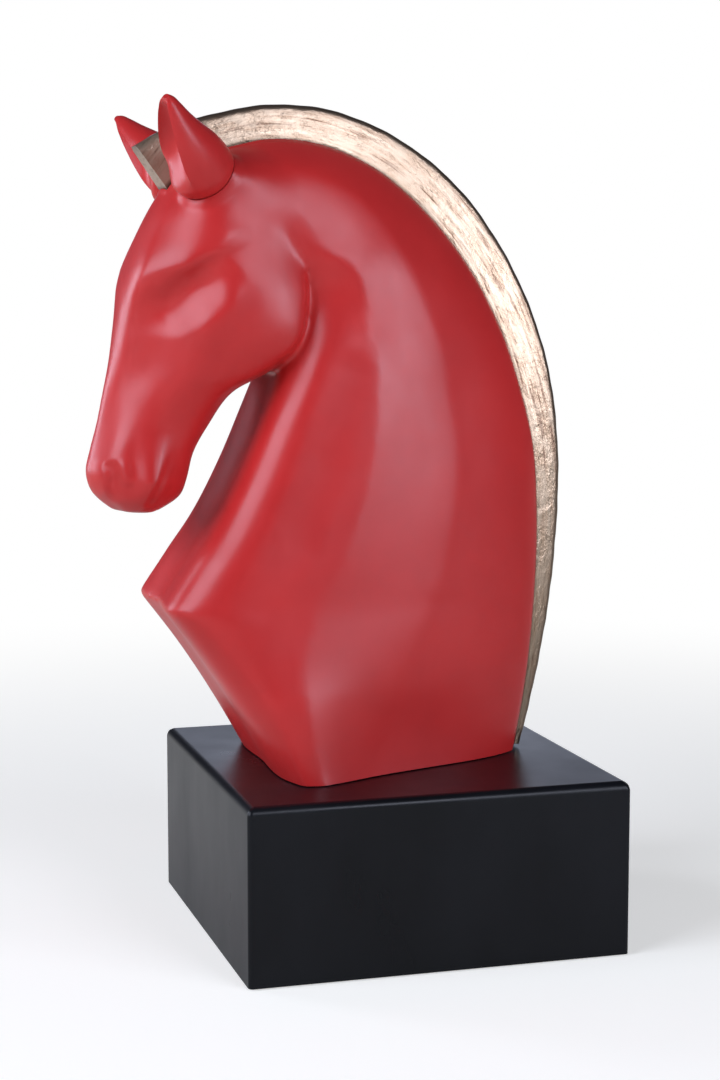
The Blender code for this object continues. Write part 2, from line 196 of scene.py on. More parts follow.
portraitCamera = {
    "place": (-0.18372, -0.59652, 0.18856),
    "right": (0.95918602, -0.28277585, 0.0),
    "up": (0.03381273, 0.11469401, 0.99282525),
    "lens": 71.5887,
}


def addCamera():
    data = bpy.data.cameras.new("portraitCamera")
    data.lens = portraitCamera["lens"]
    camera = bpy.data.objects.new("portraitCamera", data)
    bpy.context.scene.collection.objects.link(camera)
    right = Vector(portraitCamera["right"]).normalized()
    up = Vector(portraitCamera["up"])
    up = (up - up.dot(right) * right).normalized()
    turn = Matrix((right, up, right.cross(up))).transposed().to_4x4()
    camera.matrix_world = Matrix.Translation(portraitCamera["place"]) @ turn
    bpy.context.scene.camera = camera


# Studio: white paper behind and below, two softboxes to the right, a broad one to the left, a rim behind

studio = {
    "lampTint": (0.90, 0.96, 1.15),
    "roomLevel": 0.05,                  # of the dark room around the paper
    "paperLevel": 1.00,                 # how bright the white backdrop looks in a reflection
    "tableLevel": 0.50,                 # and how bright the floor behind the piece looks in one
    "paperMiddle": (0.29, 0.95, 0.06),  # direction of the backdrop's middle
    "paperTint": (0.85, 0.92, 1.15),
    "paperReach": (0.98, 0.945),        # cosines from that middle between which the backdrop fades out
    "floorSize": 12.0,
    "floorColour": (0.80, 0.78, 0.70),
    "floorGlow": 0.46,
    "paperFront": (-0.05, 0.20),        # the white part of the floor begins between these depths
    "shadowReach": (0.16, 0.60),        # the floor turns plain white between these distances
    "softboxes": {
        "rightKey": {"azimuth": 39, "elevation": 9, "distance": 1.20, "size": (0.38, 0.36), "power": 4.2},
        "rightHigh": {"azimuth": 18, "elevation": 25, "distance": 1.20, "size": (0.40, 0.34), "power": 3.4},
        "leftSide": {"azimuth": -74, "elevation": 25, "distance": 1.30, "size": (1.00, 0.80), "power": 14.0},
        "backRim": {"azimuth": -132, "elevation": 10, "distance": 1.30, "size": (0.34, 0.60), "power": 4.0},
    },
    "aim": (-0.01, 0.0, 0.13),
}


def addSoftbox(name, box):
    data = bpy.data.lights.new(name, 'AREA')
    data.shape = 'RECTANGLE'
    data.size, data.size_y = box["size"]
    data.energy = box["power"]
    data.color = studio["lampTint"]
    lamp = bpy.data.objects.new(name, data)
    bpy.context.scene.collection.objects.link(lamp)
    azimuth, elevation = math.radians(box["azimuth"]), math.radians(box["elevation"])
    flat = math.cos(elevation)
    toward = Vector((math.sin(azimuth) * flat, -math.cos(azimuth) * flat, math.sin(elevation)))
    lamp.location = Vector(studio["aim"]) + toward * box["distance"]
    lamp.rotation_euler = toward.to_track_quat('Z', 'Y').to_euler()


class Stage(NodeTree):
    def __init__(self, tree):
        super().__init__(tree)
        tree.nodes.clear()
        self.seen = self.node("LightPath").outputs

    def math(self, operation, first, second):
        return self.node("Math", {0: first, 1: second}, operation=operation).outputs[0]

    def smooth(self, value, low, high):
        inputs = {"Value": value, "From Min": low, "From Max": high}
        return self.node("MapRange", inputs, interpolation_type='SMOOTHSTEP').outputs[0]

    def whiteLevel(self, inMirror):
        straight = self.math('MAXIMUM', self.seen["Is Camera Ray"], self.seen["Is Transmission Ray"])
        mirrored = self.math('MULTIPLY', self.seen["Is Glossy Ray"], inMirror)
        return self.math('MAXIMUM', straight, mirrored)


def addSweep():
    world = bpy.data.worlds.new("studioSweep")
    bpy.context.scene.world = world
    world.use_nodes = True
    stage = Stage(world.node_tree)
    direction = stage.node("TexCoord").outputs["Generated"]
    away = Vector(studio["paperMiddle"]).normalized()
    along = stage.node("VectorMath", {0: direction, 1: away}, operation='DOT_PRODUCT').outputs["Value"]
    begin, end = studio["paperReach"]
    paper = stage.math('MULTIPLY', stage.smooth(along, end, begin), stage.whiteLevel(studio["paperLevel"]))
    level = stage.math('MAXIMUM', paper, studio["roomLevel"])
    level = stage.math('MAXIMUM', level, stage.seen["Is Camera Ray"])
    tint = stage.mixed(stage.seen["Is Camera Ray"], (*studio["paperTint"], 1), (1, 1, 1, 1))
    backdrop = stage.node("Background", {"Color": tint, "Strength": level})
    stage.node("OutputWorld", {"Surface": backdrop.outputs[0]})


def addFloor():
    shape = bmesh.new()
    bmesh.ops.create_grid(shape, x_segments=1, y_segments=1, size=studio["floorSize"] / 2)
    mesh = shapeMesh("floor", shape)
    floor = linkPiece("floor", mesh)
    paint = bpy.data.materials.new("floorPaper")
    paint.use_nodes = True
    stage = Stage(paint.node_tree)
    place = stage.node("TexCoord").outputs["Object"]
    depth = stage.node("SeparateXYZ", {0: place}).outputs["Y"]
    behind = stage.smooth(depth, *studio["paperFront"])
    seen = stage.math('MAXIMUM', behind, stage.seen["Is Camera Ray"])
    level = stage.math('MULTIPLY', stage.whiteLevel(studio["tableLevel"]), seen)
    paper = stage.node("BsdfDiffuse", {"Color": (*studio["floorColour"], 1)}).outputs[0]
    glow = stage.node("Emission", {"Strength": stage.math('MULTIPLY', level, studio["floorGlow"])}).outputs[0]
    near = stage.node("AddShader", {0: paper, 1: glow}).outputs[0]
    away = stage.node("VectorMath", {0: place}, operation='LENGTH').outputs["Value"]
    plain = stage.node("Emission", {"Strength": level}).outputs[0]
    fade = stage.smooth(away, *studio["shadowReach"])
    share = stage.math('MULTIPLY', fade, stage.math('GREATER_THAN', level, 0.0))
    pick = stage.node("MixShader", {0: share, 1: near, 2: plain}).outputs[0]
    stage.node("OutputMaterial", {"Surface": pick})
    mesh.materials.append(paint)


# Finishes


class Finish(NodeTree):
    def __init__(self, name, **sockets):
        self.material = bpy.data.materials.new(name)
        self.material.use_nodes = True
        super().__init__(self.material.node_tree)
        self.shader = self.tree.nodes["Principled BSDF"]
        for socket, value in sockets.items():
            self.shader.inputs[socket.replace("_", " ")].default_value = value
        self.place = self.node("TexCoord").outputs["Object"]

    def stretched(self, source, scale):
        return self.node("Mapping", {"Vector": source, "Scale": scale}).outputs["Vector"]

    def noise(self, vector, scale, detail=3.0, rough=0.55):
        inputs = {"Vector": vector, "Scale": scale, "Detail": detail, "Roughness": rough}
        return self.node("TexNoise", inputs).outputs["Fac"]

    def ramp(self, factor, stops):
        made = self.node("ValToRGB", {"Fac": factor})
        bar = made.color_ramp.elements
        while len(bar) < len(stops):
            bar.new(0.5)
        for stop, (position, colour) in zip(bar, stops):
            stop.position = position
            stop.color = (*colour, 1)
        return made.outputs["Color"]

    def mapped(self, value, low, high, toLow, toHigh):
        inputs = {"Value": value, "From Min": low, "From Max": high, "To Min": toLow, "To Max": toHigh}
        return self.node("MapRange", inputs).outputs["Result"]

    def attribute(self, name):
        return self.node("Attribute", attribute_name=name)

    def feed(self, socket, source):
        self.tree.links.new(source, self.shader.inputs[socket])

    def bump(self, height, depth, strength=1.0, under=None):
        inputs = {"Height": height, "Distance": depth, "Strength": strength}
        if under is not None:
            inputs["Normal"] = under
        return self.node("Bump", inputs).outputs["Normal"]


satinRed = {
    "tones": (  # where each begins in the clouds: deep, body and rubbed
        (0.30, (0.525, 0.022, 0.021)),
        (0.52, (0.570, 0.025, 0.024)),
        (0.78, (0.610, 0.029, 0.027)),
    ),
    "roughness": (0.32, 0.37),
    "specular": 0.43,
    "cloudScale": 38,
    "patchScale": 120,
    "patchSpread": (0.3, 0.7),
    "brushScale": (900, 900, 45),
    "brushDepth": 0.03,
    "brushStrength": 0.25,
    "peelScale": 900,
    "peelDepth": 0.02,
    "peelStrength": 0.35,
}


def satinRedFinish():
    red = Finish("satinRed", Specular_IOR_Level=satinRed["specular"])
    clouds = red.noise(red.place, satinRed["cloudScale"], 4)
    red.feed("Base Color", red.ramp(clouds, satinRed["tones"]))
    patches = red.noise(red.place, satinRed["patchScale"], 3)
    red.feed("Roughness", red.mapped(patches, *satinRed["patchSpread"], *satinRed["roughness"]))
    peel = red.noise(red.place, satinRed["peelScale"], 2)
    fine = red.bump(peel, satinRed["peelDepth"] * mm, satinRed["peelStrength"])
    strokes = red.noise(red.stretched(red.place, satinRed["brushScale"]), 1.0, 2)
    red.feed("Normal", red.bump(strokes, satinRed["brushDepth"] * mm, satinRed["brushStrength"], fine))
    return red.material


champagneGold = {
    "bright": (0.48, 0.365, 0.262),
    "body": (0.42, 0.290, 0.192),
    "worn": (0.18, 0.100, 0.064),
    # painted shade: this dark colour is laid along the mane's outer rim and along its foot against the red
    "paintedShade": (0.105, 0.064, 0.042),
    "toneStops": (0.34, 0.44, 0.66),      # where worn, body and bright begin in the streaks
    "roughness": (0.28, 0.39),
    "metallic": (0.35, 0.85),             # at the rough forelock and along the crest
    "forelock": (0.006, 0.016),           # metres along the strip where the forelock ends
    "streakScale": (55, 900, 300),
    "streakSpread": (0.3, 0.7),
    "streakDepth": 0.12,
    "streakStrength": 0.6,
    "blotchScale": (140, 260, 200),
    "blotchSpread": (0.42, 0.62),
    "blotchCover": 0.85,                  # how much bright paint lies on the blotches
    "hammerScale": (420, 560, 420),
    "hammerDepth": 0.35,
    "hammerSpread": (0.40, 0.62),
    "hammerStrength": (0.75, 0.15),       # between the blotches and on them
}


def champagneGoldFinish():
    gold = Finish("champagneGold")
    grain = gold.attribute("maneGrain").outputs["Vector"]
    streaks = gold.noise(gold.stretched(grain, champagneGold["streakScale"]), 1.0, 5, 0.65)
    blotches = gold.noise(gold.stretched(grain, champagneGold["blotchScale"]), 1.0, 4, 0.6)
    tones = (champagneGold["worn"], champagneGold["body"], champagneGold["bright"])
    tone = gold.ramp(streaks, tuple(zip(champagneGold["toneStops"], tones)))
    cover = gold.mapped(blotches, *champagneGold["blotchSpread"], 0.0, champagneGold["blotchCover"])
    tone = gold.mixed(cover, tone, (*champagneGold["bright"], 1))
    # painted shade: the gold is darkened towards its outer rim and towards its foot at the crest
    edge = gold.attribute("manePaintedShade").outputs["Fac"]
    gold.feed("Base Color", gold.mixed(edge, tone, (*champagneGold["paintedShade"], 1)))
    travelled = gold.node("SeparateXYZ", {0: grain}).outputs["X"]
    gold.feed("Metallic", gold.mapped(travelled, *champagneGold["forelock"], *champagneGold["metallic"]))
    low, high = champagneGold["roughness"]
    gold.feed("Roughness", gold.mapped(streaks, *champagneGold["streakSpread"], high, low))
    hammered = gold.noise(gold.stretched(grain, champagneGold["hammerScale"]), 1.0, 3, 0.6)
    strength = gold.mapped(blotches, *champagneGold["hammerSpread"], *champagneGold["hammerStrength"])
    dents = gold.bump(hammered, champagneGold["hammerDepth"] * mm, strength)
    relief = gold.bump(streaks, champagneGold["streakDepth"] * mm, champagneGold["streakStrength"], dents)
    gold.feed("Normal", relief)
    return gold.material


blackLacquer = {
    "tones": ((0.38, (0.0035, 0.0038, 0.0050)), (0.72, (0.0065, 0.0070, 0.0090))),  # clean and dusty
    "roughness": (0.27, 0.36),
    "specular": 0.25,
    "handlingScale": (28, 28, 14),
    "handlingSpread": (0.35, 0.70),
    "grainScale": (700, 700, 700),
    "grainDepth": 0.01,
    "grainStrength": 0.25,
}


def blackLacquerFinish():
    black = Finish("blackLacquer", Specular_IOR_Level=blackLacquer["specular"])
    handling = black.noise(black.stretched(black.place, blackLacquer["handlingScale"]), 1.0, 4)
    black.feed("Base Color", black.ramp(handling, blackLacquer["tones"]))
    roughness = black.mapped(handling, *blackLacquer["handlingSpread"], *blackLacquer["roughness"])
    black.feed("Roughness", roughness)
    grain = black.noise(black.stretched(black.place, blackLacquer["grainScale"]), 1.0, 2)
    black.feed("Normal", black.bump(grain, blackLacquer["grainDepth"] * mm, blackLacquer["grainStrength"]))
    return black.material


blackFelt = {
    "tones": ((0.3, (0.006, 0.006, 0.007)), (0.8, (0.028, 0.028, 0.031))),
    "roughness": 0.95,
    "fibreScale": 2600,
    "fibreDepth": 0.2,
    "fibreStrength": 0.8,
    "edge": 0.35,
    "edgeSteps": 3,
}


def blackFeltFinish():
    felt = Finish("blackFelt", Roughness=blackFelt["roughness"])
    fibres = felt.noise(felt.place, blackFelt["fibreScale"], 4)
    felt.feed("Base Color", felt.ramp(fibres, blackFelt["tones"]))
    felt.feed("Normal", felt.bump(fibres, blackFelt["fibreDepth"] * mm, blackFelt["fibreStrength"]))
    return felt.material


turnedMetal = {
    "zincSteel": {"clean": (0.60, 0.60, 0.61), "worn": (0.40, 0.40, 0.42), "roughness": (0.40, 0.28)},
    "turnedBrass": {"clean": (0.68, 0.50, 0.22), "worn": (0.48, 0.33, 0.13), "roughness": (0.38, 0.26)},
    "turningScale": (400, 400, 3500),
    "turningSpread": (0.3, 0.7),
    "turningDepth": 0.02,
    "turningStrength": 0.4,
}


def metalFinish(name):
    look = turnedMetal[name]
    low, high = turnedMetal["turningSpread"]
    metal = Finish(name, Metallic=1.0)
    turned = metal.noise(metal.stretched(metal.place, turnedMetal["turningScale"]), 1.0, 3)
    metal.feed("Base Color", metal.ramp(turned, ((low, look["worn"]), (high, look["clean"]))))
    metal.feed("Roughness", metal.mapped(turned, low, high, *look["roughness"]))
    metal.feed("Normal", metal.bump(turned, turnedMetal["turningDepth"] * mm, turnedMetal["turningStrength"]))
    return metal.material


# Casting: neck and head lofted through sections, fused, softened and then worked with strokes.
# A section runs from its outer to its inner point in the middle plane, then gives the half width
# at the outer edge, three flank points (share of the way, half width), the half width at the
# inner edge, whether it is a corner, and the steps to the next section.

Section = namedtuple("Section", "outer inner outerHalf flank innerHalf corner steps")

casting = {
    "neck": (
        ((36.9, -6.0), (-34.4, -6.0), 9.6, ((0.68, 32.0), (0.89, 38.6), (0.955, 37.8)), 33.4, 0, 4),
        ((38.0, 0.0), (-37.6, 0.0), 9.4, ((0.68, 31.8), (0.885, 38.4), (0.955, 37.4)), 32.6, 0, 10),
        ((41.0, 16.0), (-45.6, 15.0), 8.6, ((0.60, 29.9), (0.85, 37.0), (0.932, 35.4)), 29.6, 0, 10),
        ((43.0, 32.0), (-57.0, 32.5), 8.4, ((0.46, 28.6), (0.78, 34.2), (0.935, 31.4)), 26.0, 0, 10),
        ((44.3, 48.0), (-68.2, 48.2), 8.4, ((0.35, 26.4), (0.66, 32.0), (0.964, 27.6)), 25.4, 1, 10),
        ((44.8, 61.0), (-60.3, 60.0), 8.4, ((0.33, 25.0), (0.64, 31.1), (0.962, 27.2)), 25.0, 0, 10),
        ((44.7, 73.0), (-53.3, 70.0), 8.4, ((0.33, 24.2), (0.64, 30.2), (0.958, 26.8)), 24.6, 0, 12),
        ((43.3, 91.0), (-44.8, 86.0), 8.4, ((0.33, 22.8), (0.64, 29.0), (0.952, 26.2)), 24.0, 0, 12),
        ((39.0, 108.0), (-38.2, 102.0), 8.4, ((0.35, 22.2), (0.65, 28.0), (0.945, 25.4)), 23.0, 0, 12),
        ((33.0, 124.5), (-33.4, 116.0), 8.4, ((0.36, 21.8), (0.67, 26.8), (0.91, 24.4)), 20.4, 0, 12),
        ((24.0, 141.0), (-30.5, 126.0), 8.4, ((0.37, 21.4), (0.69, 25.0), (0.89, 22.4)), 19.0, 0, 12),
        ((11.0, 157.0), (-31.5, 134.0), 8.4, ((0.34, 21.0), (0.66, 24.8), (0.84, 21.8)), 18.0, 0, 12),
        ((-5.0, 170.0), (-34.0, 140.0), 8.4, ((0.29, 19.6), (0.75, 23.6), (0.87, 22.2)), 17.0, 0, 12),
        ((-22.0, 176.7), (-40.0, 144.0), 8.4, ((0.27, 20.0), (0.60, 23.4), (0.84, 22.6)), 16.0, 0, 12),
        ((-38.0, 177.6), (-48.0, 146.0), 8.0, ((0.27, 19.0), (0.60, 23.3), (0.80, 22.0)), 13.0, 0, 10),
        ((-50.0, 175.0), (-54.0, 148.0), 6.6, ((0.30, 14.0), (0.57, 16.0), (0.80, 14.0)), 8.0, 0, 0),
    ),
    # how far a corner holds on the outer point, inner point, both edges and the three flank points
    "cornerShares": (0.0, 0.0, 1.0, 1.0, 0.0, 1.0, 0.0, 0.0, 0.0, 0.0, 1.0, 1.0),
    "neckCrown": (0.6, 1.4),
    "neckCrisp": (0.0, 0.6, 0.4, 0.75, 0.2, 0.0, 0.0),
    "neckPanels": (6, 16, 16, 16, 16, 12),
    "head": (
        ((-51.0, 175.0), (-35.0, 174.4), 6.0, ((0.25, 12.0), (0.55, 13.0), (0.80, 11.0)), 5.0, 0, 10),
        ((-58.5, 171.4), (-28.0, 168.0), 9.6, ((0.25, 19.6), (0.50, 21.0), (0.80, 17.8)), 9.0, 0, 10),
        ((-65.2, 164.0), (-26.0, 157.0), 11.4, ((0.24, 21.8), (0.50, 23.4), (0.82, 21.2)), 10.0, 0, 14),
        ((-72.8, 150.5), (-25.0, 144.0), 13.2, ((0.21, 22.0), (0.47, 25.6), (0.88, 22.0)), 11.0, 0, 16),
        ((-77.4, 138.0), (-25.0, 132.0), 15.4, ((0.19, 20.6), (0.50, 27.0), (0.90, 23.6)), 13.0, 0, 16),
        ((-79.5, 126.0), (-27.5, 120.5), 10.4, ((0.20, 16.6), (0.49, 25.4), (0.88, 24.2)), 15.0, 0, 14),
        ((-81.2, 115.5), (-36.8, 113.0), 7.4, ((0.20, 13.2), (0.51, 21.2), (0.85, 21.2)), 14.0, 0, 12),
        ((-83.2, 106.5), (-46.8, 107.4), 5.6, ((0.20, 11.4), (0.50, 17.2), (0.82, 17.0)), 11.0, 0, 10),
        ((-84.9, 98.5), (-53.2, 98.4), 5.6, ((0.20, 11.0), (0.50, 14.6), (0.82, 13.2)), 9.0, 0, 10),
        ((-86.9, 91.0), (-57.8, 90.2), 6.4, ((0.20, 11.4), (0.50, 13.8), (0.82, 12.4)), 8.6, 0, 10),
        ((-88.0, 84.8), (-59.6, 83.0), 6.8, ((0.20, 11.6), (0.50, 13.6), (0.82, 12.2)), 8.4, 0, 10),
        ((-86.2, 79.4), (-61.6, 78.0), 6.0, ((0.20, 10.0), (0.50, 12.0), (0.82, 10.8)), 7.0, 0, 10),
        ((-80.8, 74.4), (-67.8, 73.6), 3.4, ((0.20, 6.0), (0.50, 7.0), (0.82, 6.0)), 3.6, 0, 0),
    ),
    "headCrown": (2.3, 2.0),
    "headCrisp": (0.0, 0.4, 0.0, 0.0, 0.6, 0.0, 0.0),
    "headPanels": (6, 14, 20, 20, 14, 6),
    "grain": 0.75,        # size of the remeshed facets
    "softening": (10, 4),  # smoothing passes before and after the strokes
    "blends": {           # places in side view that are smoothed further
        "cheekIntoNeck": {"middle": (-40.0, 162.0), "reach": 10.5, "passes": 160},
        "pollIntoNeck": {"middle": (-46.0, 174.0), "reach": 8.0, "passes": 60},
        "flankOverChest": {"middle": (-14.0, 47.0), "reach": 20.0, "passes": 70},
        "chestRidge": {"middle": (-57.0, 53.0), "reach": 9.0, "passes": 50},
    },
    # a stroke has a path in side view, how far it reaches on its left and right, its height, and the
    # share of that height at each point of the path
    "strokes": {
        "flankHollow": {"path": ((-20.0, 113.0), (-27.0, 88.0), (-35.5, 67.5), (-47.0, 51.5)),
                        "reach": (9.0, 9.0), "height": -0.8, "shares": (0.6, 1.0, 1.0, 0.4)},
        "browRidge": {"path": ((-74.0, 141.5), (-63.0, 143.5), (-54.0, 148.5), (-46.0, 152.5)),
                      "reach": (10.0, 4.0), "height": 1.5, "shares": (0.6, 1.0, 0.8, 0.0)},
        "eyeHollow": {"path": ((-76.0, 131.0), (-67.0, 132.5), (-60.0, 137.0), (-53.0, 144.5)),
                      "reach": (7.0, 10.0), "height": -3.8, "shares": (0.25, 0.9, 0.9, 0.0)},
        "cheekbone": {"path": ((-55.5, 133.0), (-60.0, 125.0), (-65.5, 113.0)),
                      "reach": (9.0, 8.0), "height": 1.2, "shares": (0.7, 1.0, 0.5)},
        "lipBulge": {"path": ((-69.6, 97.6), (-71.6, 83.0), (-73.2, 77.6)),
                     "reach": (7.0, 7.0), "height": 3.4, "shares": (0.1, 1.0, 0.6)},
        "footRelief": {"path": ((-34.0, 0.0), (8.0, 0.0), (40.0, 4.0)),
                       "reach": (26.0, 26.0), "height": -2.0, "shares": (0.8, 1.0, 0.7)},
    },
    "fineStrokes": {
        "nostril": {"path": ((-82.3, 87.0), (-81.9, 83.5), (-81.6, 79.5)),
                    "reach": (2.8, 2.8), "height": -1.9, "shares": (0.7, 1.0, 0.6)},
        "nostrilFront": {"path": ((-86.0, 88.0), (-86.2, 85.0)),
                         "reach": (2.4, 2.4), "height": 0.5, "shares": (1.0, 1.0)},
        "nostrilRear": {"path": ((-79.0, 87.5), (-78.4, 84.0)),
                        "reach": (2.8, 2.8), "height": 0.7, "shares": (0.8, 1.0)},
        "mouthLine": {"path": ((-67.0, 88.6), (-70.0, 82.4), (-72.2, 77.4)),
                      "reach": (1.7, 1.7), "height": -0.7, "shares": (0.3, 1.0, 1.0)},
    },
    "clearOfMiddle": 4.0,  # strokes leave this much on each side of the middle plane alone
    "earLip": {"reach": 3.4, "height": 0.9},
    "maneLip": {"reach": 1.6, "height": 0.35},
    "insertHoleEnd": 4.0,  # depth of the holes beyond the inserts
    "sharpAngle": 60,
}


def halfRing(values, crown, crisp, panels):
    outer, inner = np.array(values[0:2]), np.array(values[2:4])
    outerHalf, innerHalf = values[4:6]
    depth = np.linalg.norm(inner - outer)
    points = [(0, 0), (crown[0], outerHalf)]
    for share, half in zip(values[6::2], values[7::2]):
        points.append((share * depth, half))
    points += [(depth - crown[1], innerHalf), (depth, 0)]
    mirrored = [(points[1][0], -outerHalf), *points, (points[-2][0], -innerHalf)]
    line = runThrough(lengthsAlong(mirrored), mirrored, (0, *crisp, 0), (1, *panels, 1))[1:-1]
    along = (inner - outer) / depth
    return np.column_stack((outer[0] + line[:, 0] * along[0], line[:, 1], outer[1] + line[:, 0] * along[1]))


def bodyRings(part):
    sections = [Section(*row) for row in casting[part]]
    crown, crisp, panels = (casting[part + kind] for kind in ("Crown", "Crisp", "Panels"))
    middles, values = [], []
    for section in sections:
        middles.append(np.add(section.outer, section.inner) / 2)
        edges = section.outerHalf, section.innerHalf
        values.append([*section.outer, *section.inner, *edges, *np.ravel(section.flank)])
    corners = np.outer([section.corner for section in sections], casting["cornerShares"])
    steps = [section.steps for section in sections[:-1]]
    rings = []
    for row in runThrough(lengthsAlong(middles), values, corners, steps):
        half = halfRing(row, crown, crisp, panels)
        rings.append(toRow(np.vstack((half, half[-2:0:-1] * (1, -1, 1)))))
    return rings


def softened(mesh, points, passes, share=0.5):
    edges = np.empty(len(mesh.edges) * 2, int)
    mesh.edges.foreach_get("vertices", edges)
    ends = np.concatenate((edges.reshape(-1, 2), edges.reshape(-1, 2)[:, ::-1]))
    count = np.bincount(ends[:, 0], minlength=len(points))[:, None]
    for _ in range(passes):
        near = [np.bincount(ends[:, 0], points[ends[:, 1], i], len(points)) for i in range(3)]
        points = points + share * (np.column_stack(near) / count - points)
    return points


def blendWork(mesh):
    for blend in casting["blends"].values():
        points = meshPoints(mesh)
        middle = np.array((blend["middle"][0], blend["middle"][1] + footHeight / mm)) * mm
        near = np.linalg.norm(points[:, [0, 2]] - middle, axis=1) / (blend["reach"] * mm)
        share = np.clip(1 - near**2, 0, 1)[:, None]
        setPoints(mesh, softened(mesh, points, blend["passes"], 0.5 * share))


def strokeHeight(points, stroke):
    tallest = np.zeros(len(points))
    shares = stroke["shares"]
    for i, (start, end) in enumerate(zip(stroke["path"], stroke["path"][1:])):
        start = np.array(start)
        line = np.array(end) - start
        t = np.clip((points - start) @ line / (line @ line), 0, 1)
        offset = points - start - t[:, None] * line
        onLeft = line[0] * offset[:, 1] > line[1] * offset[:, 0]
        reach = np.where(onLeft, *stroke["reach"])
        near = np.minimum(np.linalg.norm(offset, axis=1) / reach, 1)
        share = shares[i] + (shares[i + 1] - shares[i]) * t
        tallest = np.maximum(tallest, share * (1 - near**2)**2)
    return stroke["height"] * tallest


def strokeWork(mesh, strokes):
    points = meshPoints(mesh)
    drawing = points / mm - (0, 0, footHeight / mm)
    clear = casting["clearOfMiddle"]
    side = np.clip((np.abs(drawing[:, 1]) - clear) / clear, 0, 1) * np.sign(drawing[:, 1])
    for stroke in strokes.values():
        points[:, 1] += strokeHeight(drawing[:, [0, 2]], stroke) * side * mm
    setPoints(mesh, points)


def makeCasting(finish, ears, groove, holes):
    shape = bmesh.new()
    for part in ("neck", "head"):
        shape.from_mesh(loftMesh(part, bodyRings(part)))
    bust = linkPiece("horseCasting", shapeMesh("horseCasting", shape))
    fuse = bust.modifiers.new("fuse", 'REMESH')
    fuse.mode = 'VOXEL'
    fuse.voxel_size = casting["grain"] * mm
    settle(bust)
    print("casting fused: %d points" % len(bust.data.vertices))
    before, after = casting["softening"]
    setPoints(bust.data, softened(bust.data, meshPoints(bust.data), before))
    blendWork(bust.data)
    strokeWork(bust.data, casting["strokes"])
    setPoints(bust.data, softened(bust.data, meshPoints(bust.data), after))
    strokeWork(bust.data, casting["fineStrokes"])
    for ear in ears:
        raiseLip(bust.data, ear, casting["earLip"])
    raiseLip(bust.data, groove, casting["maneLip"])
    cutFoot(bust.data)
    cutBy(bust, [groove, *holes])
    dress(bust, finish, "horse_bust", casting["sharpAngle"])
    print("casting: %d faces" % len(bust.data.polygons))


def raiseLip(mesh, neighbour, lip):
    tree = BVHTree.FromPolygons([v.co for v in neighbour.vertices], [p.vertices for p in neighbour.polygons])
    points, normals = meshPoints(mesh), meshNormals(mesh)
    around = meshPoints(neighbour)
    reach, height = lip["reach"] * mm, lip["height"] * mm
    close = (points > around.min(0) - reach).all(1) & (points < around.max(0) + reach).all(1)
    for i in np.flatnonzero(close):
        away = tree.find_nearest(Vector(points[i]))[3]
        if away < reach:
            points[i] += normals[i] * height * (1 - (away / reach)**2)**2
    setPoints(mesh, points)


def cutFoot(mesh):
    shape = bmesh.new()
    shape.from_mesh(mesh)
    everything = shape.verts[:] + shape.edges[:] + shape.faces[:]
    cut = bmesh.ops.bisect_plane(shape, geom=everything, plane_co=(0, 0, footHeight), plane_no=(0, 0, 1),
                                 clear_inner=True)
    rim = [item for item in cut["geom_cut"] if isinstance(item, bmesh.types.BMEdge)]
    bmesh.ops.contextual_create(shape, geom=rim)
    bmesh.ops.recalc_face_normals(shape, faces=shape.faces)
    shape.to_mesh(mesh)
    shape.free()


# Mane: a strip on the crest line that the sections give

maneStrip = {
    "halfAtCrest": 5.6,
    "halfAtRim": 4.4,
    "rimRound": 2.0,
    "rootDepth": 3.0,
    "footClearance": 3.0,
    "heights": (14.0, 10.8, 9.6, 9.6, 10.4, 11.4, 12.8, 12.5, 12.0, 11.2, 9.2, 8.0, 7.2, 6.4, 5.2, 3.9, 2.9),
    "steps": 14,
    "sidePanels": 10,
    "rimPanels": 6,
    "waver": 0.10,
    "waverTurns": ((0.42, 0.0, 1.0), (0.97, 1.3, 0.7)),          # turn per millimetre, start, share
    "dents": 0.05,
    "dentTurns": ((0.83, 0.6), (0.31, -1.1), (1.9, 2.3)),        # turn along the strip and up its side
    "fineDents": 0.6,                                            # share of the last of these
    # painted shade: the gold is darkened within these millimetres of the outer rim, by the share below, and
    # within the last of them above the crest
    "rimShadeWidth": 3.2,
    "rimShade": 0.75,
    "seamShadeWidth": 0.8,
}


def maneLine(gap):
    points = [Section(*row).outer for row in (*casting["head"][2:0:-1], *casting["neck"][:0:-1])]
    steps = maneStrip["steps"]
    rows = np.column_stack((points, maneStrip["heights"]))
    line = runThrough(lengthsAlong(points), rows, np.zeros(len(points)), [steps] * (len(points) - 1))
    tangents = np.gradient(line[:, :2], axis=0)
    tangents /= np.linalg.norm(tangents, axis=1)[:, None]
    tangents[:steps] = tangents[steps]
    line[0, :2] -= tangents[0] * gap
    line[-1, :2] -= tangents[-1] * (maneStrip["footClearance"] - gap)
    return line, tangents


def maneOutline(height, gap):
    root = -maneStrip["rootDepth"] - gap
    rimRound = maneStrip["rimRound"]
    crest, rim = maneStrip["halfAtCrest"] + gap, maneStrip["halfAtRim"] + gap
    shoulder = height - rimRound
    half = [(root, crest)]
    for t in np.linspace(0, 1, maneStrip["sidePanels"] + 1):
        half.append((t * shoulder, crest + t * (rim - crest)))
    for turn in np.linspace(0, math.pi / 2, maneStrip["rimPanels"] + 1)[1:]:
        half.append((shoulder + rimRound * math.sin(turn), rim - rimRound * (1 - math.cos(turn))))
    return half + [(h, -y) for h, y in reversed(half)]


def maneWaver(s):
    waves = [share * math.sin(turn * s + start) for turn, start, share in maneStrip["waverTurns"]]
    return maneStrip["waver"] * sum(waves) / sum(share for turn, start, share in maneStrip["waverTurns"])


def maneDent(s, h):
    waves = [math.sin(along * s + up * h) for along, up in maneStrip["dentTurns"]]
    return maneStrip["dents"] * (waves[0] * waves[1] + maneStrip["fineDents"] * waves[2])


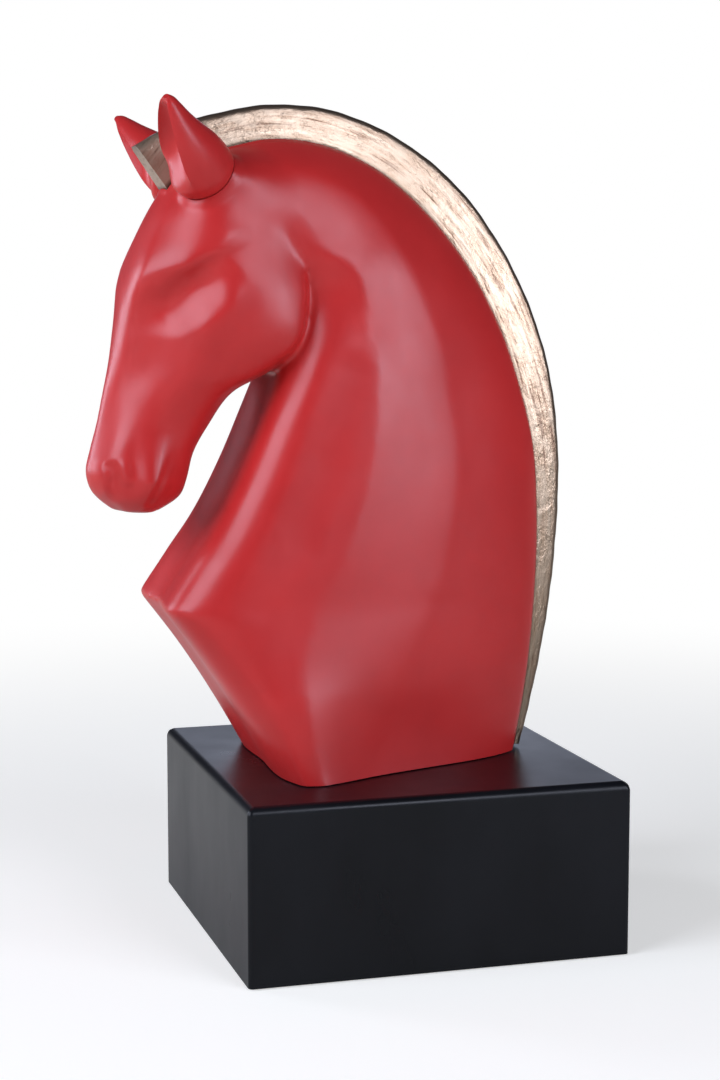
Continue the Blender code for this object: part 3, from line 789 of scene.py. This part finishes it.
def maneMesh(name, gap, worked):
    line, tangents = maneLine(gap)
    travelled = lengthsAlong(line[:, :2])
    rings, grain, edge = [], [], []
    for (x, z, height), (tx, tz), s in zip(line, tangents, travelled):
        if worked:
            height += maneWaver(s)
        ring = []
        for h, y in maneOutline(height, gap):
            if worked and h > 0:
                y += math.copysign(maneDent(s, h), y) * min(1.0, max(0.0, height - h))
            ring.append((x - tz * h, y, z + tx * h))
            grain.append((s * mm, h * mm, y * mm))
            # painted shade along the outer rim and at the foot against the red, kept in an attribute for the
            # finish
            rim = np.clip(1 - (height - h) / maneStrip["rimShadeWidth"], 0, 1)
            paintedShade = np.clip(1 - h / maneStrip["seamShadeWidth"], 0, 1)
            edge.append(max(maneStrip["rimShade"] * rim, paintedShade))
        rings.append(toRow(ring))
    mesh = loftMesh(name, rings)
    if worked:
        vectors = mesh.attributes.new("maneGrain", 'FLOAT_VECTOR', 'POINT')
        vectors.data.foreach_set("vector", np.ravel(grain))
        values = mesh.attributes.new("manePaintedShade", 'FLOAT', 'POINT')
        values.data.foreach_set("value", np.ravel(edge))
    return mesh


# Ears: leaf shapes with a hollow that faces forward

earLeaf = {
    "left": ((-57.6, -18.6, 167.0), (-70.6, -33.0, 186.6)),  # foot and tip
    "right": ((-56.6, 18.4, 167.0), (-72.0, 33.5, 185.6)),
    "opening": (-0.96, -0.20, -0.2),
    "halfDepth": 7.4,
    "halfWidth": 7.4,
    "bowl": 8.0,
    "bowlNarrowing": 1.5,
    "bow": 1.4,
    "sections": (  # share of the length, of the half depth, of the half width, of the bowl
        (-0.18, 0.50, 0.46, 0.00),
        (-0.08, 1.00, 0.94, 0.00),
        (0.03, 1.28, 1.14, 0.10),
        (0.16, 1.34, 1.17, 0.45),
        (0.34, 1.23, 1.12, 0.90),
        (0.52, 0.97, 0.98, 1.00),
        (0.70, 0.69, 0.76, 0.80),
        (0.86, 0.45, 0.51, 0.48),
        (0.95, 0.28, 0.32, 0.18),
        (1.00, 0.11, 0.12, 0.00),
    ),
    "steps": 8,
    "sides": 72,
    "seatGap": 0.12,
}


def earMesh(name, side, gap):
    mirror = Matrix.Diagonal((1, side, 1))
    foot, tip = (Vector(end) for end in earLeaf["left" if side > 0 else "right"])
    stem = tip - foot
    opening = mirror @ Vector(earLeaf["opening"])
    up = stem.normalized()
    forward = (opening - opening.dot(up) * up).normalized()
    turn = np.array(Matrix((forward, up.cross(forward), up)))
    rows = np.array(earLeaf["sections"])
    rows = runThrough(rows[:, 0], rows, np.zeros(len(rows)), [earLeaf["steps"]] * (len(rows) - 1))
    angle = np.linspace(0, 2 * math.pi, earLeaf["sides"], endpoint=False)
    turned = np.minimum(angle, 2 * math.pi - angle)
    rings = []
    for share, depth, width, bowl in rows:
        hollow = bowl * earLeaf["bowl"] * np.maximum(0, np.cos(earLeaf["bowlNarrowing"] * turned))
        bow = earLeaf["bow"] * 4 * max(share, 0) * (1 - share)
        x = (depth * earLeaf["halfDepth"] + gap) * np.cos(angle) - hollow + bow
        y = (width * earLeaf["halfWidth"] + gap) * np.sin(angle)
        z = np.full_like(x, share * stem.length + math.copysign(gap, share))
        rings.append(toRow(np.column_stack((x, y, z)) @ turn + np.array(foot)))
    return loftMesh(name, rings)


# Block, felt and the hidden fixings

blackBlock = {
    "topEdge": 2.4,
    "sideEdge": 1.3,
    "edgeSteps": 6,
    "recess": 1.4,
    "rim": 4.0,
    "counterbore": 20.0,
    "boltHole": 6.6,
    "holeSides": 64,
    "cutPast": 1.0,  # cutters run this far past the face that they open
    "sharpAngle": 60,
}


def slabShape(low, high):
    shape = bmesh.new()
    bmesh.ops.create_cube(shape, size=1)
    bmesh.ops.scale(shape, verts=shape.verts, vec=high - low)
    bmesh.ops.translate(shape, verts=shape.verts, vec=(low + high) / 2)
    return shape


def postMesh(x, radius, low, high):
    shape = bmesh.new()
    bmesh.ops.create_cone(shape, cap_ends=True, segments=blackBlock["holeSides"],
                          radius1=radius, radius2=radius, depth=high - low)
    bmesh.ops.translate(shape, verts=shape.verts, vec=(x, 0, (low + high) / 2))
    return shapeMesh("post", shape)


def makeBlock(finish):
    low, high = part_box("block")
    shape = slabShape(low, high)
    weight = shape.edges.layers.float.new("bevel_weight_edge")
    weights = 0.0, blackBlock["sideEdge"] / blackBlock["topEdge"], 1.0  # under, upright and on top
    for edge in shape.edges:
        edge[weight] = weights[sum(v.co.z > (low.z + high.z) / 2 for v in edge.verts)]
    block = linkPiece("blackBlock", shapeMesh("blackBlock", shape))
    rounding = block.modifiers.new("roundedEdges", 'BEVEL')
    rounding.limit_method = 'WEIGHT'
    rounding.width = blackBlock["topEdge"] * mm
    rounding.segments = blackBlock["edgeSteps"]
    settle(block)
    inset = Vector((1, 1, 0)) * blackBlock["rim"] * mm
    recessTop = low.z + blackBlock["recess"] * mm
    past = blackBlock["cutPast"] * mm
    recess = slabShape(low + inset - Vector((0, 0, past)), Vector((high.x, high.y, recessTop)) - inset)
    cutters = [shapeMesh("recess", recess)]
    for place in ("front", "rear"):
        boltLow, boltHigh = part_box("bolt_" + place)
        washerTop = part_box("washer_" + place)[1].z
        x = (boltLow.x + boltHigh.x) / 2
        cutters.append(postMesh(x, blackBlock["counterbore"] / 2 * mm, low.z, washerTop + seatGap * mm))
        cutters.append(postMesh(x, blackBlock["boltHole"] / 2 * mm, low.z, high.z + past))
    cutBy(block, cutters)
    flat = block.modifiers.new("flatFaces", 'WEIGHTED_NORMAL')
    flat.keep_sharp = True
    dress(block, finish, "block", blackBlock["sharpAngle"])


def makeFelt(finish):
    low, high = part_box("felt_pad")
    shape = slabShape(low, high)
    bmesh.ops.bevel(shape, geom=shape.edges[:], offset=blackFelt["edge"] * mm,
                    segments=blackFelt["edgeSteps"], affect='EDGES', profile=0.5)
    felt = linkPiece("feltPad", shapeMesh("feltPad", shape))
    dress(felt, finish, "felt_pad")


def finishFixings():
    steel, brass = metalFinish("zincSteel"), metalFinish("turnedBrass")
    for name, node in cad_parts.items():
        if name.startswith(("bolt", "washer", "insert")):
            node.data.materials.clear()
            node.data.materials.append(brass if name.startswith("insert") else steel)


addCamera()
addSweep()
addFloor()
for boxName, softbox in studio["softboxes"].items():
    addSoftbox(boxName, softbox)
bpy.context.scene.view_settings.view_transform = 'Standard'
print("studio lit")

red = satinRedFinish()
gold = champagneGoldFinish()
ears = {"ear_left": earMesh("earLeft", 1, 0), "ear_right": earMesh("earRight", -1, 0)}
groove = maneMesh("groove", seatGap, False)
holes = [earMesh("socket", side, earLeaf["seatGap"]) for side in (1, -1)]
for place in ("front", "rear"):
    low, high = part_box("insert_" + place)
    radius = (high.y - low.y) / 2 + seatGap * mm
    start, end = low.z - blackBlock["cutPast"] * mm, high.z + casting["insertHoleEnd"] * mm
    holes.append(postMesh((low.x + high.x) / 2, radius, start, end))
makeCasting(red, ears.values(), groove, holes)
for node, mesh in ears.items():
    dress(linkPiece(mesh.name, mesh), red, node)
print("ears set")
dress(linkPiece("maneStrip", maneMesh("maneStrip", 0, True)), gold, "mane")
print("mane set")
makeBlock(blackLacquerFinish())
makeFelt(blackFeltFinish())
finishFixings()
print("block, felt and fixings set")
